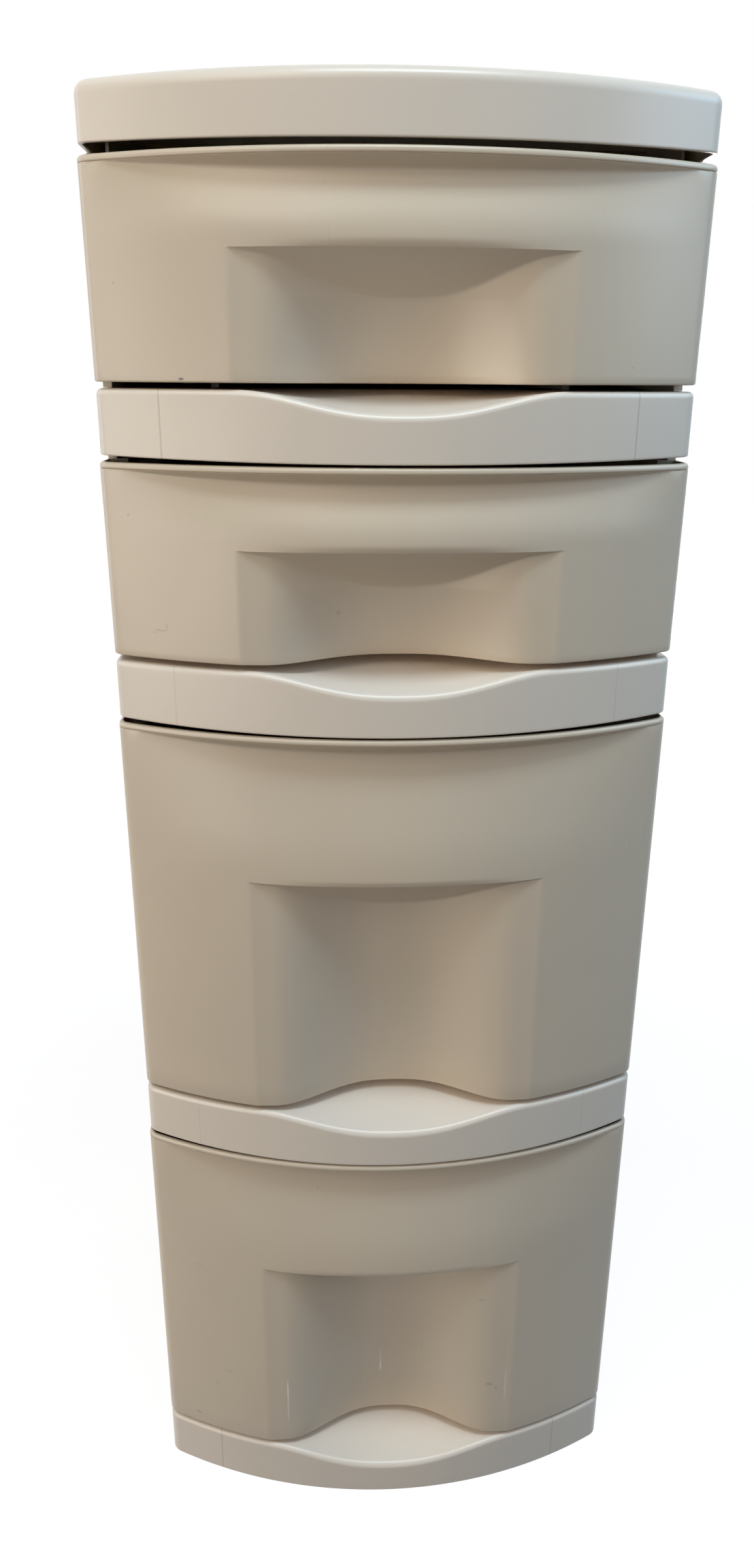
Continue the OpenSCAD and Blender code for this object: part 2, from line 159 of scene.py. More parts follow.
class TowerFinish(bpy.types.PropertyGroup):
    drawer_colour: FloatVectorProperty(
        name="Drawer plastic", description="Colour of the drawers", subtype="COLOR", default=(0.67, 0.563, 0.445))
    # Painted light: the frames and the cover are the drawers' plastic, set lighter to stand in for the stronger light
    # that falls on them
    frame_colour_lit: FloatVectorProperty(
        name="Frame plastic", description="Colour of the frames and the cover", subtype="COLOR",
        default=(0.815, 0.717, 0.626))
    panel_colour: FloatVectorProperty(
        name="Panel plastic", description="Colour of the side and back panels", subtype="COLOR",
        default=(0.68, 0.61, 0.51))
    grime_colour: FloatVectorProperty(
        name="Grime", description="Colour of the dust and scuffs", subtype="COLOR", default=(0.16, 0.13, 0.10))
    # Colour of the pale rubs, and of the painted highlight streaks on drawer 4
    rub_and_highlight_colour: FloatVectorProperty(
        name="Rubs", description="Colour of the pale rub marks", subtype="COLOR", default=(0.92, 0.91, 0.88))
    gloss: FloatProperty(
        name="Roughness", description="Mean roughness of the plastic", default=0.31, min=0, max=1, subtype="FACTOR")
    peel: FloatProperty(
        name="Waviness", description="Strength of the moulded surface's waviness", default=0.12, min=0, max=1)


class TowerStudio(bpy.types.PropertyGroup):
    focal: FloatProperty(
        name="Focal length", description="Lens on a 36 mm long side", default=25.78 * MM, unit="CAMERA")
    pitch: FloatProperty(
        name="Pitch", description="How far the camera looks down", default=math.radians(20.02), subtype="ANGLE")
    yaw: FloatProperty(
        name="Yaw", description="How far the camera looks to the right", default=math.radians(2.90), subtype="ANGLE")
    roll: FloatProperty(name="Roll", description="Roll of the camera", default=math.radians(0.38), subtype="ANGLE")
    place: FloatVectorProperty(
        name="Camera place", description="Where the camera stands", subtype="TRANSLATION",
        default=(-0.0397, -0.7469, 0.7121))
    key_power: FloatProperty(name="Key light", description="Warm light from high front left", default=3.0, unit="POWER")
    near_power: FloatProperty(
        name="Near light", description="Warm light from low front left", default=4.2, unit="POWER")
    side_power: FloatProperty(name="Side light", description="Wide light from the far left", default=12, unit="POWER")
    cool_power: FloatProperty(name="Cool light", description="Cool light from the right", default=8.0, unit="POWER")
    rim_power: FloatProperty(name="Rim light", description="Cool light on the upper right", default=3.8, unit="POWER")
    edge_power: FloatProperty(name="Edge light", description="Cool light on the left edge", default=4, unit="POWER")
    top_power: FloatProperty(name="Top light", description="Soft light from above", default=25.5, unit="POWER")
    back_power: FloatProperty(name="Back light", description="Soft light on the back", default=22, unit="POWER")
    ambient: FloatProperty(name="Ambient", description="Strength of the light from all round", default=0.02)


# ---------- shader maths ----------


class Wire:
    """The output of a node, on which sums of values add their Math nodes."""

    def __init__(self, tree, socket=None):
        self.tree = tree
        self.socket = socket

    def node(self, kind, settings=None, inputs=None, output=0):
        """Adds a node of that type, with its settings first and then its sockets."""
        made = self.tree.nodes.new(kind)
        for name, value in (settings or {}).items():
            if name == "stops":
                for stop, (place, colour) in zip(made.color_ramp.elements, value):
                    stop.position, stop.color = place, colour
            else:
                setattr(made, name, value)
        for name, value in (inputs or {}).items():
            socket = made.inputs[name]
            if isinstance(value, Wire):
                self.tree.links.new(value.socket, socket)
            else:
                socket.default_value = value
        return Wire(self.tree, made.outputs[output] if made.outputs else None)

    def math(self, operation, first, second=0.0):
        return self.node("ShaderNodeMath", {"operation": operation}, {0: first, 1: second})

    def __add__(self, other):
        return self.math("ADD", self, other)

    def __sub__(self, other):
        return self.math("SUBTRACT", self, other)

    def __rsub__(self, other):
        return self.math("SUBTRACT", other, self)

    def __mul__(self, other):
        return self.math("MULTIPLY", self, other)

    def __truediv__(self, other):
        return self.math("DIVIDE", self, other)

    __radd__ = __add__
    __rmul__ = __mul__

    def size(self):
        return self.math("ABSOLUTE", self)

    def clamp(self):
        return self.node("ShaderNodeClamp", None, {0: self})

    def band(self, centre, half):
        """1 at the centre, falling to 0 at half on either side."""
        return (1 - ((self - centre) / half).size()).clamp()

    def step(self, low, high):
        """0 below low, 1 above high, smooth between."""
        return self.node("ShaderNodeMapRange", {"interpolation_type": "SMOOTHSTEP"}, {0: self, 1: low, 2: high})

    def noise(self, scale, detail=2.0, stretch=(1, 1, 1)):
        """Even noise of about 0.5, in cycles a metre."""
        at = self.node("ShaderNodeVectorMath", {"operation": "MULTIPLY"}, {0: self, 1: stretch})
        return self.node("ShaderNodeTexNoise", None, {"Vector": at, "Scale": scale, "Detail": detail})

    def spot(self, centre, radius, stretch=(1, 1, 1)):
        """1 at a point, falling to 0 at the radius, squeezed by the stretch."""
        off = self.node("ShaderNodeVectorMath", {"operation": "SUBTRACT"}, {0: self, 1: centre})
        off = self.node("ShaderNodeVectorMath", {"operation": "MULTIPLY"}, {0: off, 1: stretch})
        far = self.node("ShaderNodeVectorMath", {"operation": "LENGTH"}, {0: off}, output="Value")
        return (1 - far / radius).clamp()

    def blend(self, factor, other):
        """This colour, with the other over it where the factor is 1."""
        return self.node(
            "ShaderNodeMix", {"data_type": "RGBA"}, {"Factor": factor, 6: self, 7: other}, output=2)


def rgba(colour):
    return (*colour, 1.0)


def plastic(name, colour, finish, marks=None):
    """Moulded polypropylene: faint flow marks, an uneven gloss, fine waviness and light scuffs.

    marks takes the point on the surface and returns the piece's marks: dark ones, pale ones and grooves; the pale ones
    are rubs, and on drawer 4 also painted highlights.
    """
    material = bpy.data.materials.new(name)
    material.use_nodes = True
    tree = material.node_tree
    tree.nodes.clear()
    new = Wire(tree)
    at = new.node("ShaderNodeTexCoord", output="Object")
    cloud = at.noise(9, 2)  # broad, faint unevenness of the colour
    flow = at.noise(30, 2, (1, 1, 0.22))  # flow marks, drawn out downwards
    smear = at.noise(22, 4, (1, 1, 0.35))  # uneven gloss
    scratch = at.noise(420, 1, (1, 1, 0.06)).step(0.72, 0.78) * at.noise(14, 1).step(0.55, 0.66)  # in patches
    peel = at.noise(700, 1)  # fine waviness of the moulded skin
    base = new.node("ShaderNodeMix", {"data_type": "RGBA"}, {
        "Factor": cloud.step(0.3, 0.7), 6: rgba([c * 0.975 for c in colour]),
        7: rgba([c * k for c, k in zip(colour, (1.02, 1.015, 1.0))])}, output=2)
    base = base.blend(flow.step(0.2, 0.9) * 0.05, rgba([c * k for c, k in zip(colour, (0.96, 0.93, 0.86))]))
    dark, pale, groove = marks(at) if marks else (None, None, None)
    base = base.blend(scratch * 0.04 + dark if dark else scratch * 0.04, rgba(finish.grime_colour))
    # Pale marks: rubs, and on drawer 4 painted highlights standing in for reflections
    if pale:
        base = base.blend(pale, rgba(finish.rub_and_highlight_colour))
    rough = smear.step(0.1, 0.9) * (2 * GLOSS_SPREAD) + (finish.gloss - GLOSS_SPREAD)
    height = flow * 0.12 + peel * 0.045
    if groove:
        height = height - groove
    bump = new.node("ShaderNodeBump", None, {"Strength": finish.peel, "Distance": 0.001, "Height": height})
    shader = new.node("ShaderNodeBsdfPrincipled", None, {
        "Base Color": base, "Roughness": rough, "Normal": bump, "IOR": 1.49,
        "Subsurface Weight": 0.06, "Subsurface Radius": (1.0, 0.8, 0.6), "Subsurface Scale": 0.004})
    new.node("ShaderNodeOutputMaterial", None, {"Surface": shader})
    return material


def rail_marks(lines, strength):
    """Hairline witness marks down a rail, where the mould's inserts met."""

    def draw(at):
        x = at.node("ShaderNodeSeparateXYZ", None, {0: at})
        y = at.node("ShaderNodeSeparateXYZ", None, {0: at}, output=1)
        line = x.size().band(lines, 0.0006) * (1 - y.step(-0.150, -0.146))
        return line * strength, None, line * 1.5 * strength

    return draw


# ---------- mesh making ----------


def loft(rings):
    """A closed skin through a stack of rings that have the same number of points."""
    rings = np.asarray(rings)
    count, n = rings.shape[:2]
    ids = np.arange(count * n).reshape(count, n)
    nxt = np.roll(ids, -1, axis=1)
    quads = np.stack([ids[:-1], nxt[:-1], nxt[1:], ids[1:]], axis=-1).reshape(-1, 4)
    return rings.reshape(-1, 3), quads.tolist() + [ids[0][::-1].tolist(), ids[-1].tolist()]


def block(low, high):
    """A box from its lowest to its highest corner."""
    (x0, y0, z0), (x1, y1, z1) = low, high
    ring = [(x0, y0), (x1, y0), (x1, y1), (x0, y1)]
    return loft([[(x, y, z) for x, y in ring] for z in (z0, z1)])


def build(name, parts, material, body, node):
    """Joins the parts into one smooth piece that stands for its CAD node."""
    verts, faces, start = [], [], 0
    for points, polygons in parts:
        verts.append(points)
        faces += [[start + i for i in polygon] for polygon in polygons]
        start += len(points)
    mesh = bpy.data.meshes.new(name)
    mesh.from_pydata(np.concatenate(verts).tolist(), [], faces)
    mesh.validate()
    mesh.shade_smooth()
    mesh.set_sharp_from_angle(angle=SHARP_ANGLE)
    mesh.materials.append(material)
    piece = bpy.data.objects.new(name, mesh)
    bpy.context.scene.collection.objects.link(piece)
    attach(piece, body)
    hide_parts(node)
    return piece


def smooth_min(a, b, k):
    """The lesser of a and b, with a fillet of about k where they cross."""
    k = np.maximum(k, 1e-9)
    near = np.maximum(k - np.abs(a - b), 0) / k
    return np.minimum(a, b) - near * near * k / 4


class Tower:
    """The places that all the pieces share, from the CAD frame and the sizes."""

    def __init__(self, sizes):
        self.s = sizes
        low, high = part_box("base_frame")
        self.half = high[0]
        self.front = low[1]
        self.back = high[1]
        self.radius = (self.half ** 2 + sizes.bow ** 2) / (2 * sizes.bow)

    def bow(self, x):
        """How far the bowed front stands behind its middle at x."""
        return self.radius - np.sqrt(self.radius ** 2 - x * x)

    def corner(self, half):
        """Centre of a front corner and the turn from the bow to it, for a front of that half width."""
        r = self.s.front_corner
        x = half - r
        y = self.front + self.radius - math.sqrt((self.radius - r) ** 2 - x * x)
        return x, y, math.asin(x / (self.radius - r))


def arc(x, y, r, start, end, steps):
    """Points on an arc, with the outward direction at each."""
    angles = np.linspace(start, end, steps + 1)
    out = np.stack([np.cos(angles), np.sin(angles)], axis=1)
    return np.array([x, y]) + r * out, out


# ---------- frames and cover ----------


def frame_outline(t):
    """Outline of a frame from above, with the outward direction at each point."""
    s = t.s
    x, y, turn = t.corner(t.half)
    steps = s.columns
    inner = turn - turn / steps
    bow = arc(0, t.front + t.radius, t.radius, -math.pi / 2 - inner, -math.pi / 2 + inner, steps)
    front = arc(x, y, s.front_corner, turn - math.pi / 2, 0, CORNER_STEPS)
    back = arc(t.half - s.back_corner, t.back - s.back_corner, s.back_corner, 0, math.pi / 2, CORNER_STEPS)
    right = [np.concatenate(pair) for pair in zip(front, back)]
    left = [side[::-1] * (-1, 1) for side in right]
    return [np.concatenate(group) for group in zip(bow, right, left)]


def bell(x, half):
    """1 in the middle, 0 from half outwards, full near the middle."""
    return np.cos(math.pi / 2 * np.minimum(1, np.abs(x) / half) ** 1.25) ** 2


def frame_skin(t, bottom, top, edge, scoop, arch):
    """The shell of a frame: skirt, rounded edge and deck, with a finger scoop of that depth."""
    s = t.s
    points, out = frame_outline(t)
    inner_loop = points * DECK_RING + (0, DECK_SHIFT)

    def dip(xy):
        behind = xy[:, 1] - t.front - t.bow(np.clip(xy[:, 0], -t.half, t.half))
        return scoop * bell(xy[:, 0], s.scoop_half) * np.clip(1 - behind / s.scoop_run, 0, 1.1)

    def ring(xy, z):
        return np.column_stack([xy, np.broadcast_to(z, len(xy))])

    def inset(d):
        return points - d * out

    rise = np.where(
        points[:, 1] < t.front + s.returns, arch * np.minimum(1, (points[:, 0] / t.half) ** 2), arch) + bottom
    rings = []
    for share in np.linspace(1, 0, 12):
        xy = inset(s.skirt) * (1 - share) + inner_loop * share
        rings.append(ring(xy, top - s.deck - dip(xy)))
    rings.append(ring(inset(s.skirt), rise + SKIRT_CHAMFER))
    rings.append(ring(inset(s.skirt - SKIRT_CHAMFER), rise))
    for angle in np.linspace(0, math.pi / 2, 4):
        xy = inset(SKIRT_ROUND * (1 - math.sin(angle)))
        rings.append(ring(xy, rise + SKIRT_ROUND * (1 - math.cos(angle))))
    shoulder = top - edge - dip(inset(0))
    for share in (0.03, 0.25, 0.5, 0.75, 0.97):
        rings.append(ring(inset(0), rise + SKIRT_ROUND + (shoulder - rise - SKIRT_ROUND) * share))
    for angle in np.linspace(0, math.pi / 2, 10):
        xy = inset(edge * (1 - math.cos(angle)))
        rings.append(ring(xy, top - edge * (1 - math.sin(angle)) - dip(xy)))
    for share in (np.arange(1, 27) / 26) ** 1.2:
        xy = inset(edge) * (1 - share) + inner_loop * share
        rings.append(ring(xy, top - dip(xy)))
    return loft(rings)


def frame_ribs(t, bottom, top, runner):
    """Guides and braces under a deck, and the pair of runners on it where it carries a drawer."""
    s = t.s
    seat = t.half - s.skirt - TAB_CLEAR - TAB_WALL
    guide = seat - SIDE_CLEAR - LUG_INSET - LUG_WALL - LUG_CLEAR
    start = t.front + s.scoop_run + GUIDE_START
    end = t.back - s.skirt - TAB_CLEAR - TAB_WALL - BRACE_WALL
    parts = []
    for side in (-1, 1):
        left, right = sorted((side * guide, side * (guide - GUIDE_WALL)))
        parts.append(block((left, start, bottom + s.arch), (right, end, top - s.deck / 2)))
    for i in range(1, BRACES + 1):
        y = start + i * (end - start) / (BRACES + 1)
        parts.append(block((-guide, y, top - s.deck - BRACE_HEIGHT), (guide, y + BRACE_WALL, top - s.deck / 2)))
    if runner:
        for x in (-RUNNER_X, RUNNER_X):
            parts.append(block((x - RUNNER_WIDTH / 2, t.front + s.returns + RUNNER_START, top - s.deck / 2),
                               (x + RUNNER_WIDTH / 2, end - RUNNER_BACK, top + s.runner)))
    return parts


class TOWER_OT_frames(bpy.types.Operator):
    """Shelf frames and base: bowed rails with finger scoops, skirts, decks and ribs"""

    bl_idname = "tower.frames"
    bl_label = "Build shelf frames"

    def execute(self, context):
        t = Tower(context.scene.tower_sizes)
        finish = context.scene.tower_finish
        for name, strength in zip(FRAMES, (0.36, 0.14, 0.10, 0.32)):
            low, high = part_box(name)
            top = high[2] - t.s.runner
            is_base = name == "base_frame"
            skin = frame_skin(t, low[2], top, t.s.rail_edge, t.s.scoop_depth, 0 if is_base else t.s.arch)
            ribs = frame_ribs(t, low[2], top, True)
            marks = rail_marks(0.114 if is_base else 0.117, strength)
            # The frames' colour is the drawers' plastic made lighter by painted light
            material = plastic(name + "_plastic", finish.frame_colour_lit, finish, marks)
            build(name + "_moulding", [skin] + ribs, material, "frame", name)
        return {"FINISHED"}


class TOWER_OT_cover(bpy.types.Operator):
    """Top cover with its rounded upper edge"""

    bl_idname = "tower.cover"
    bl_label = "Build top cover"

    def execute(self, context):
        t = Tower(context.scene.tower_sizes)
        finish = context.scene.tower_finish
        low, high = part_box("top_cover")
        skin = frame_skin(t, low[2], high[2], t.s.cover_edge, 0, t.s.arch)
        ribs = frame_ribs(t, low[2], high[2], False)
        # The cover's colour is the drawers' plastic made lighter by painted light
        material = plastic("cover_plastic", finish.frame_colour_lit, finish)
        build("top_cover_moulding", [skin] + ribs, material, "frame", "top_cover")
        return {"FINISHED"}


# ---------- drawers ----------


class DrawerForm:
    """The moulded form of one drawer: outlines at each height, from its box in the CAD frame."""

    def __init__(self, t, node, ledge_drop):
        self.t = t
        low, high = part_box(node)
        self.z0 = low[2]
        self.h = high[2] - LUG_HEIGHT - low[2]
        self.half = high[0]
        self.rim_back = high[1]
        self.rim_half = t.half - t.s.skirt - TAB_CLEAR - TAB_WALL - SIDE_CLEAR
        self.ledge = self.h - ledge_drop
        self.rim_z = self.h - t.s.rim
        self.wall_top = self.ledge - (t.s.trough_top - t.s.nose_setback) * math.tan(t.s.ledge_underside)

    def trough(self, x, z):
        """Depth of the trough's wall: a crease and a ramp along each side, and a bell that deepens downwards."""
        s = self.t.s
        middle = s.trough_depth - (s.trough_depth - s.trough_top) * min(1, z / self.wall_top)
        side = np.clip((s.trough_half - np.abs(x)) / s.step_width, 0, 1)
        return s.trough_step * np.sin(math.pi / 2 * side) + (middle - s.trough_step) * bell(
            x, s.trough_half - s.step_width / 2)

    def recess(self, x, z):
        """How far the front is set back from the bow: trough, ledge, and the hollow under the rim."""
        s = self.t.s
        if z >= self.rim_z:
            return np.zeros_like(x)
        nose = s.nose_setback * bell(x, s.trough_half)
        if z >= self.ledge + s.nose:
            fall = (self.rim_z - z) / (self.rim_z - self.ledge - s.nose)
            middle = 1 - np.minimum(1, np.abs(x) / (self.half - s.front_corner)) ** 2
            rise = 1 - fall
            soft = rise ** 2 / (2 * s.face_ease) if rise < s.face_ease else rise - s.face_ease / 2
            hollow = s.rim_recess * middle * soft / (1 - s.face_ease / 2)
            lip = RIM_SETBACK * math.exp(-(self.rim_z - z) / RIM_SETBACK_FADE)
            under = (self.rim_z - z) / math.tan(s.rim_underside) + 0 * x
            return np.maximum(smooth_min(hollow, under, 0.25 * hollow), lip)
        if z >= self.ledge:
            return nose * ((self.ledge + s.nose - z) / s.nose) ** 2
        wall = self.trough(x, z)
        return smooth_min(wall, nose + (self.ledge - z) / math.tan(s.ledge_underside), 0.07 * wall)

    def outline(self, z, rim=False):
        """Outline at a height, round the front, the side returns and the box."""
        s, t = self.t.s, self.t
        draft = (self.h - z) * math.tan(s.box_draft)
        half = self.half - s.front_draft * (self.h - z) / self.h
        cx, cy, turn = t.corner(half)
        corner, _ = arc(cx, cy, s.front_corner, turn - math.pi / 2, 0, CORNER_STEPS)
        box_x = self.rim_half if rim else self.rim_half - s.rim_out - draft
        box_y = self.rim_back if rim else self.rim_back - s.rim_out - draft
        back, _ = arc(box_x - s.box_corner, box_y - s.box_corner, s.box_corner, 0, math.pi / 2, CORNER_STEPS)
        rear = t.front + s.returns
        right = np.concatenate([corner, [(half, rear), (box_x, rear)], back])
        last = corner[0][0]
        x = np.linspace(-last, last, s.columns + 1)[1:-1]
        front = np.column_stack([x, t.front + t.bow(x) + self.recess(x, z)])
        return np.concatenate([front, right, right[::-1] * (-1, 1)])

    def inside(self, outline, d):
        """The outline moved inwards by d, mitred at its corners."""
        along = np.roll(outline, -1, axis=0) - outline
        along /= np.linalg.norm(along, axis=1)[:, None]
        out = np.column_stack([along[:, 1], -along[:, 0]])
        before = np.roll(out, 1, axis=0)
        return outline - d * (out + before) / (1 + np.sum(out * before, axis=1))[:, None]

    def skin(self):
        s = self.t.s
        z0 = self.z0
        trough_top = self.wall_top

        def ring(xy, z):
            return np.column_stack([xy, np.full(len(xy), z0 + z)])

        rows = np.concatenate([
            np.linspace(DRAWER_ROUND, trough_top - 1 * MM, 12),
            np.linspace(trough_top - 0.6 * MM, self.ledge - 0.05 * MM, 80),
            np.linspace(self.ledge, self.ledge + s.nose, 9),
            np.linspace(self.ledge + s.nose + 1 * MM, self.rim_z - 9 * MM, 14),
            np.linspace(self.rim_z - 8.5 * MM, self.rim_z - 0.25 * MM, 18)])
        rings = []
        for a in np.linspace(0, math.pi / 2, 4)[:-1]:
            xy = self.inside(self.outline(0), DRAWER_ROUND * (1 - math.sin(a)))
            rings.append(ring(xy, DRAWER_ROUND * (1 - math.cos(a))))
        rings += [ring(self.outline(z), z) for z in rows]
        for a in np.linspace(0, math.pi / 2, 5):
            xy = self.inside(self.outline(self.rim_z, True), RIM_LIP * (1 - math.sin(a)))
            rings.append(ring(xy, self.rim_z + RIM_LIP * (1 - math.cos(a))))
        for a in np.linspace(0, math.pi / 2, 7):
            xy = self.inside(self.outline(self.h, True), RIM_CROWN * (1 - math.cos(a)))
            rings.append(ring(xy, self.h - RIM_CROWN * (1 - math.sin(a))))
        rings.append(ring(self.inside(self.outline(self.h), s.wall), self.h))
        lift = s.wall * (1 - math.sin(s.rim_underside)) / math.cos(s.rim_underside)
        inner = np.concatenate([
            np.linspace(self.rim_z, self.ledge + s.nose, 10),
            np.linspace(self.ledge, trough_top, 24),
            np.linspace(trough_top - 2 * MM, s.wall + 4 * MM, 4)])
        for z in inner:
            rings.append(ring(self.inside(self.outline(z), s.wall), z + lift))
        for a in np.linspace(0.3, math.pi / 2, 4):
            xy = self.inside(self.outline(s.wall), s.wall + FLOOR_FILLET * (1 - math.cos(a)))
            rings.append(ring(xy, s.wall + FLOOR_FILLET * (1 - math.sin(a))))
        return loft(rings)

    def lugs(self):
        """Stops on the side rims that meet the inside of the rail above."""
        _, y, _ = self.t.corner(self.t.half)
        y += TRAVEL + SIDE_CLEAR - self.t.s.front_corner + self.t.s.skirt
        x = self.rim_half - LUG_INSET
        z = self.z0 + self.h
        lugs = []
        for side in (1, -1):
            left, right = sorted((side * x, side * (x - LUG_WALL)))
            lugs.append(block((left, y, z - self.t.s.rim / 2), (right, y + LUG_LENGTH, z + LUG_HEIGHT)))
        return lugs


# Small marks on the fronts: x and height in mm, radius in mm, how narrow and how low each is, and its strength,
# dark above 0 and pale below; the pale ones are rubs, and on drawer 4 painted highlights
MARKS = {
    "drawer_1": (
        (-105.2, 709.7, 2.0, 1, 2.2, 0.95), (-136, 752, 0.9, 1, 1, 0.25), (112, 716, 0.8, 1, 1, 0.2)),
    "drawer_2": (
        (-123, 587.4, 4.5, 0.8, 5, 0.20), (-119.6, 589.6, 2.4, 3.5, 0.9, 0.20), (-126.2, 586.0, 2.2, 1, 4, 0.16),
        (-136.6, 645, 0.9, 1, 1, 0.3), (-31.1, 596.6, 1.8, 1, 1, 0.16), (58, 612, 0.7, 1, 1, 0.15),
        (-22.4, 671, 3.2, 1, 1.6, -0.6), (-15.5, 671, 2.2, 1, 1.6, -0.45), (-9, 671, 2.6, 1, 1.6, -0.55)),
    "drawer_3": (
        (84, 392, 1.6, 1, 4, 0.10), (-92, 455, 0.8, 1, 1, 0.15), (-61, 338, 0.8, 1, 1, 0.12)),
    "drawer_4": (
        (66.3, 80, 3.4, 1, 1.7, 0.26), (71, 77, 2.0, 1, 1.4, 0.2), (59, 151, 4.0, 1, 3, 0.14),
        (-129.2, 45.4, 3.0, 1, 2.4, 0.3), (-114.4, 77.6, 4.0, 1.6, 1, 0.10), (-106.3, 90.3, 4.5, 1, 3, 0.10),
        (-46, 245, 0.8, 1, 1, 0.35), (-122.3, 174.7, 3.5, 1, 3, 0.12),
        # Painted highlights: these long narrow pale streaks stand in for the vertical reflections on the glossy trough
        # sides
        (-67.5, 72, 25, 30, 1, -0.55), (-67.5, 82, 10, 16, 1, -0.5), (-5.2, 82, 15, 16, 1, -0.30),
        (-5.2, 77, 7, 7, 1, -0.45), (77, 79, 20, 30, 1, -0.40)),
}


def drawer_marks(form, spots):
    """A drawer's own small marks set on its front, and on drawer 4 painted highlight streaks."""

    def draw(at):
        totals = {True: None, False: None}
        for x, z, radius, narrow, low, strength in spots:
            x, z = x * MM, z * MM
            y = form.t.front + form.t.bow(x) + float(form.recess(np.array([x]), z - form.z0)[0])
            mark = at.spot((x, y, z), radius * MM, (narrow, 0.4, low)).step(0.1, 0.6) * abs(strength)
            dark = strength > 0
            totals[dark] = mark if totals[dark] is None else totals[dark] + mark
        return totals[True], totals[False], None

    return draw


class TOWER_OT_drawers(bpy.types.Operator):
    """Four drawers: bowed fronts with rolled rim, pull ledge and finger trough, and their boxes"""

    bl_idname = "tower.drawers"
    bl_label = "Build drawers"

    def execute(self, context):
        sizes = context.scene.tower_sizes
        finish = context.scene.tower_finish
        t = Tower(sizes)
        drops = (sizes.small_ledge, sizes.small_ledge, sizes.large_ledge, sizes.large_ledge)
        for name, drop in zip(DRAWERS, drops):
            form = DrawerForm(t, name, drop)
            material = plastic(name + "_plastic", finish.drawer_colour, finish, drawer_marks(form, MARKS[name]))
            build(name + "_moulding", [form.skin()] + form.lugs(), material, name, name)
        return {"FINISHED"}


# ---------- panels ----------


class TOWER_OT_panels(bpy.types.Operator):
    """Finish on the side and back panels"""

    bl_idname = "tower.panels"
    bl_label = "Finish panels"

    def execute(self, context):
        finish = context.scene.tower_finish
        material = plastic("panel_plastic", finish.panel_colour, finish)
        for name in PANELS:
            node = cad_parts[name]
            node.data.materials.clear()
            node.data.materials.append(material)
        return {"FINISHED"}


# ---------- studio ----------


def white_to_lens(tree, light, white):
    """The light, but plain white where the lens, a gloss or a clear thing sees it."""
    new = Wire(tree)
    seen = new.node("ShaderNodeLightPath", output="Is Camera Ray")
    for ray in ("Is Glossy Ray", "Is Transmission Ray"):
        seen = seen.math("MAXIMUM", seen, new.node("ShaderNodeLightPath", output=ray))
    return new.node("ShaderNodeMixShader", None, {0: seen, 1: light, 2: white})


def area_light(name, place, target, size, power, colour):
    """A soft rectangular light at a place, turned to a target."""
    lamp = bpy.data.lights.new(name, "AREA")
    lamp.shape = "RECTANGLE"
    lamp.size, lamp.size_y = size
    lamp.energy = power
    lamp.color = colour
    thing = bpy.data.objects.new(name, lamp)
    thing.location = place
    thing.rotation_euler = (Vector(target) - Vector(place)).to_track_quat("-Z", "Y").to_euler()
    bpy.context.scene.collection.objects.link(thing)
    return thing


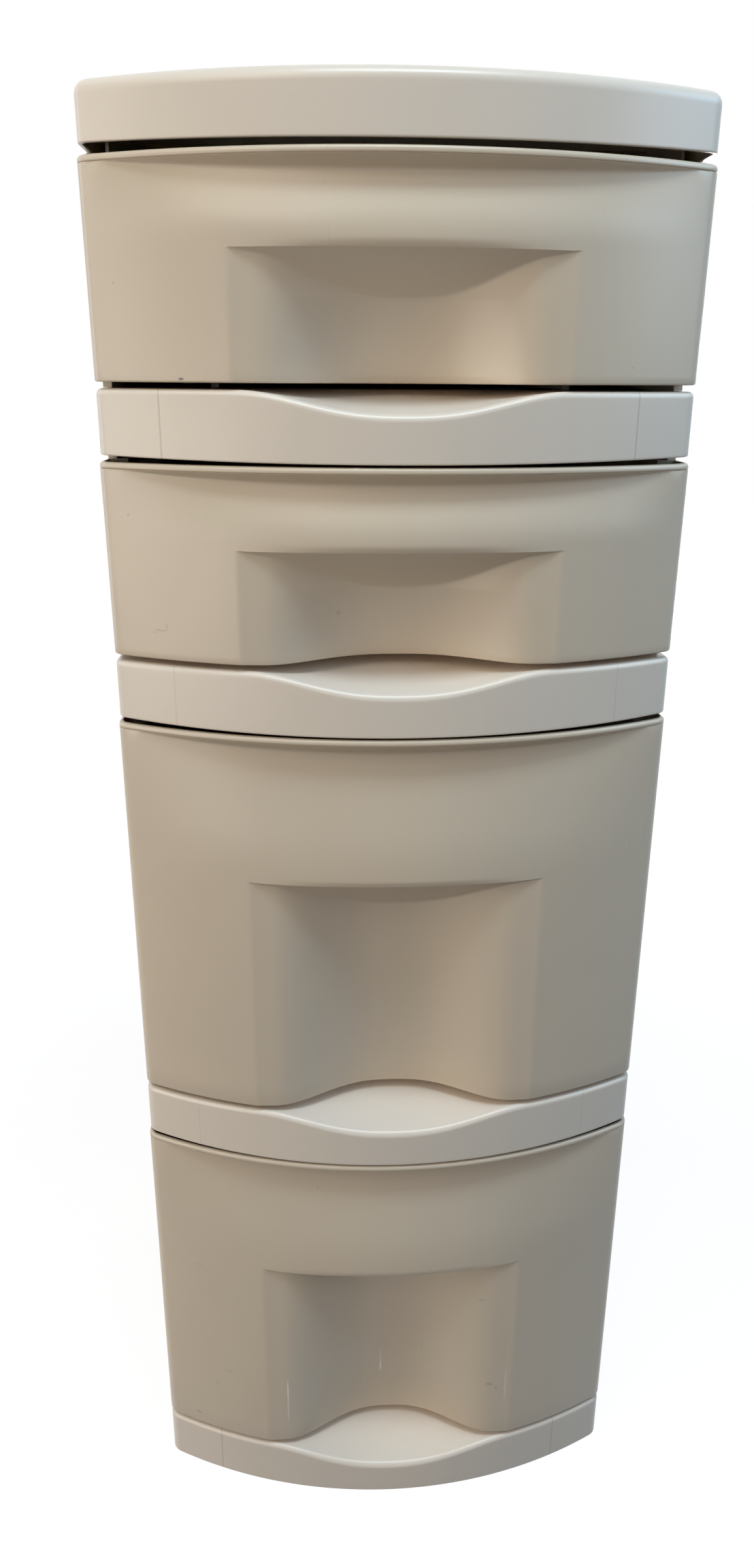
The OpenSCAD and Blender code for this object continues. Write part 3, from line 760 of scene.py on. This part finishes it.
class TOWER_OT_stage(bpy.types.Operator):
    """Pale floor, soft studio light and the camera"""

    bl_idname = "tower.stage"
    bl_label = "Set the stage"

    def execute(self, context):
        scene = context.scene
        studio = scene.tower_studio
        self.floor()
        self.world(scene, studio)
        area_light("key", (-0.45, -0.85, 1.45), (0, -0.15, 0.75), (0.6, 0.6), studio.key_power, (1.0, 0.90, 0.74))
        area_light("near", (-1.0, -1.0, 0.45), (0, -0.1, 0.25), (0.8, 0.6), studio.near_power, (1.0, 0.93, 0.82))
        area_light("side", (-2.2, -0.9, 0.9), (0, 0, 0.42), (1.2, 1.6), studio.side_power, (1.0, 0.96, 0.90))
        area_light("cool", (1.8, -1.0, 1.2), (0, -0.1, 0.6), (0.8, 1.0), studio.cool_power, (0.74, 0.86, 1.0))
        area_light("rim", (0.95, -0.35, 1.3), (0, -0.1, 0.72), (0.5, 0.5), studio.rim_power, (0.35, 0.68, 1.0))
        area_light("edge", (-1.5, 0.35, 0.8), (-0.15, -0.15, 0.45), (0.4, 1.2), studio.edge_power, (0.75, 0.88, 1.0))
        area_light("top", (0.1, -0.78, 2.7), (0, -0.2, 0.6), (1.0, 0.5), studio.top_power, (0.74, 0.90, 1.0))
        area_light("back", (0.6, 2.1, 0.45), (0, 0.2, 0.42), (1.6, 0.75), studio.back_power, (1.0, 0.98, 0.95))
        self.camera(scene, studio)
        scene.view_settings.view_transform = "Standard"
        return {"FINISHED"}

    def floor(self):
        size = 6.0
        mesh = bpy.data.meshes.new("floor")
        mesh.from_pydata([(-size, -size, 0), (size, -size, 0), (size, size, 0), (-size, size, 0)], [], [(0, 1, 2, 3)])
        material = bpy.data.materials.new("pale_floor")
        material.use_nodes = True
        tree = material.node_tree
        tree.nodes.clear()
        new = Wire(tree)
        lit = new.node("ShaderNodeBsdfDiffuse", None, {"Color": rgba((0.07, 0.068, 0.065))})
        pale = new.node("ShaderNodeBsdfDiffuse", None, {"Color": rgba((0.96, 0.96, 0.96))})
        white = new.node("ShaderNodeEmission", None, {"Color": rgba((1, 1, 1)), "Strength": 1.1})
        near = new.node("ShaderNodeTexCoord", output="Object").spot((0, 0, 0), 1.2).step(0, 0.7)
        shadowed = new.node("ShaderNodeMixShader", None, {0: 1 - near * 0.2, 1: pale, 2: white})
        new.node("ShaderNodeOutputMaterial", None, {"Surface": white_to_lens(tree, lit, shadowed)})
        mesh.materials.append(material)
        floor = bpy.data.objects.new("floor", mesh)
        bpy.context.scene.collection.objects.link(floor)

    def world(self, scene, studio):
        world = bpy.data.worlds.new("studio")
        world.use_nodes = True
        tree = world.node_tree
        tree.nodes.clear()
        new = Wire(tree)
        dim = new.node("ShaderNodeBackground", None, {"Color": rgba((1.0, 0.98, 0.96)), "Strength": studio.ambient})
        white = new.node("ShaderNodeBackground", None, {"Color": rgba((1, 1, 1)), "Strength": 1.0})
        new.node("ShaderNodeOutputWorld", None, {"Surface": white_to_lens(tree, dim, white)})
        scene.world = world

    def camera(self, scene, studio):
        yaw, pitch, roll = studio.yaw, studio.pitch, studio.roll
        ahead = Vector((math.sin(yaw) * math.cos(pitch), math.cos(yaw) * math.cos(pitch), -math.sin(pitch)))
        right = Vector((math.cos(yaw), -math.sin(yaw), 0))
        up = right.cross(ahead)
        right, up = math.cos(roll) * right + math.sin(roll) * up, math.cos(roll) * up - math.sin(roll) * right
        lens = bpy.data.cameras.new("camera")
        lens.sensor_fit = "AUTO"
        lens.sensor_width = 36
        lens.lens = studio.focal / MM
        camera = bpy.data.objects.new("camera", lens)
        turn = Matrix((right, up, -ahead)).transposed()
        camera.matrix_world = Matrix.Translation(studio.place) @ turn.to_4x4()
        scene.collection.objects.link(camera)
        scene.camera = camera


# ---------- panel and main ----------


class TOWER_PT_panel(bpy.types.Panel):
    """Lists the tower's pieces and its settings"""

    bl_idname = "TOWER_PT_panel"
    bl_label = "Drawer tower"
    bl_space_type = "VIEW_3D"
    bl_region_type = "UI"
    bl_category = "Tower"

    def draw(self, context):
        for operator in OPERATORS:
            self.layout.operator(operator.bl_idname)
        for group in (context.scene.tower_sizes, context.scene.tower_finish, context.scene.tower_studio):
            box = self.layout.box()
            for name in group.bl_rna.properties.keys():
                if name not in ("rna_type", "name"):
                    box.prop(group, name)


GROUPS = {"tower_sizes": TowerSizes, "tower_finish": TowerFinish, "tower_studio": TowerStudio}
OPERATORS = (TOWER_OT_frames, TOWER_OT_cover, TOWER_OT_drawers, TOWER_OT_panels, TOWER_OT_stage)


def register():
    for group in GROUPS.values():
        bpy.utils.register_class(group)
    for name, group in GROUPS.items():
        setattr(bpy.types.Scene, name, PointerProperty(type=group))
    for operator in OPERATORS:
        bpy.utils.register_class(operator)
    bpy.utils.register_class(TOWER_PT_panel)


def unregister():
    bpy.utils.unregister_class(TOWER_PT_panel)
    for operator in reversed(OPERATORS):
        bpy.utils.unregister_class(operator)
    for name in GROUPS:
        delattr(bpy.types.Scene, name)
    for group in GROUPS.values():
        bpy.utils.unregister_class(group)


def main():
    register()
    bpy.ops.tower.frames()
    bpy.ops.tower.cover()
    bpy.ops.tower.drawers()
    bpy.ops.tower.panels()
    bpy.ops.tower.stage()


if __name__ == "__main__":
    main()
